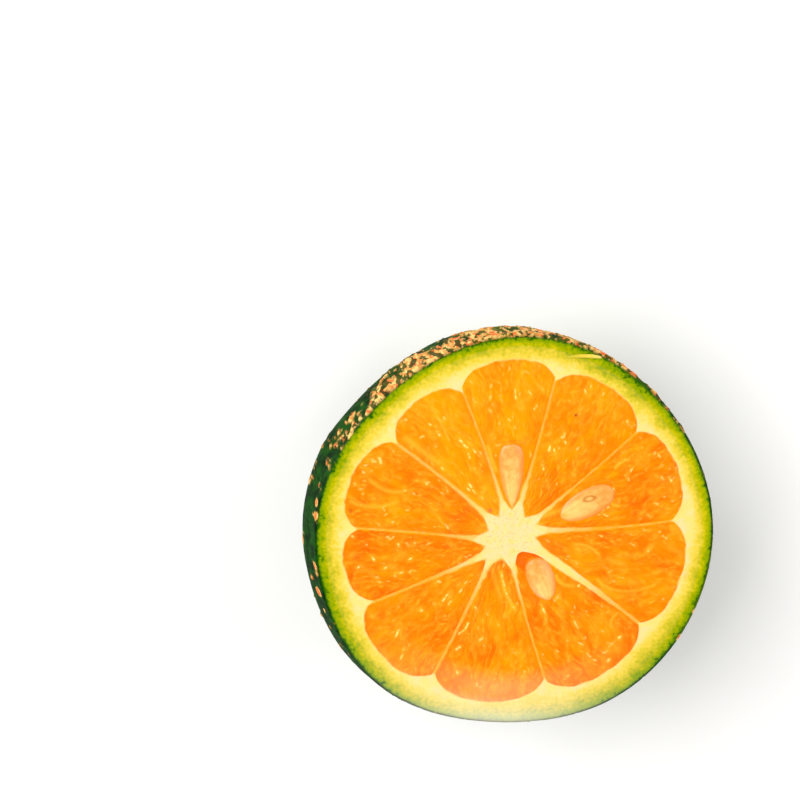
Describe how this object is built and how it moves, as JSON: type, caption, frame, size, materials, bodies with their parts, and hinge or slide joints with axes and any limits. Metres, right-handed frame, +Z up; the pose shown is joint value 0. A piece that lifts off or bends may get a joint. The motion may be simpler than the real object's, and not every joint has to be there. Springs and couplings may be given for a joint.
{
  "type": "rangpur lime half",
  "caption": "Half of a rangpur lime cut across: green rind, cream pith and core, orange flesh segments with seeds, resting on its rounded end.",
  "frame": {"origin": "middle of the small flat spot on which the half rests, straight below the centre of the round cut face", "axes": "+Z up, square to the level cut face and out of it; +X and +Y lie in the cut face, +X towards the right and +Y towards the top of the picture"},
  "size_m": [0.0562, 0.056, 0.0276],
  "materials": {
    "rind": "dark green waxy skin with oil glands, semi-gloss",
    "pith": "cream spongy pith, matte and moist",
    "flesh": "wet translucent orange juice sacs",
    "seed": "pale smooth moist seed coat"
  },
  "bodies": {
    "root": {"rind": "rind", "pith": "pith", "flesh_01": "flesh", "flesh_02": "flesh", "flesh_03": "flesh", "flesh_04": "flesh", "flesh_05": "flesh", "flesh_06": "flesh", "flesh_07": "flesh", "flesh_08": "flesh", "flesh_09": "flesh", "flesh_10": "flesh", "seed_top": "seed", "seed_right": "seed", "seed_lower": "seed"}
  },
  "joints": []
}
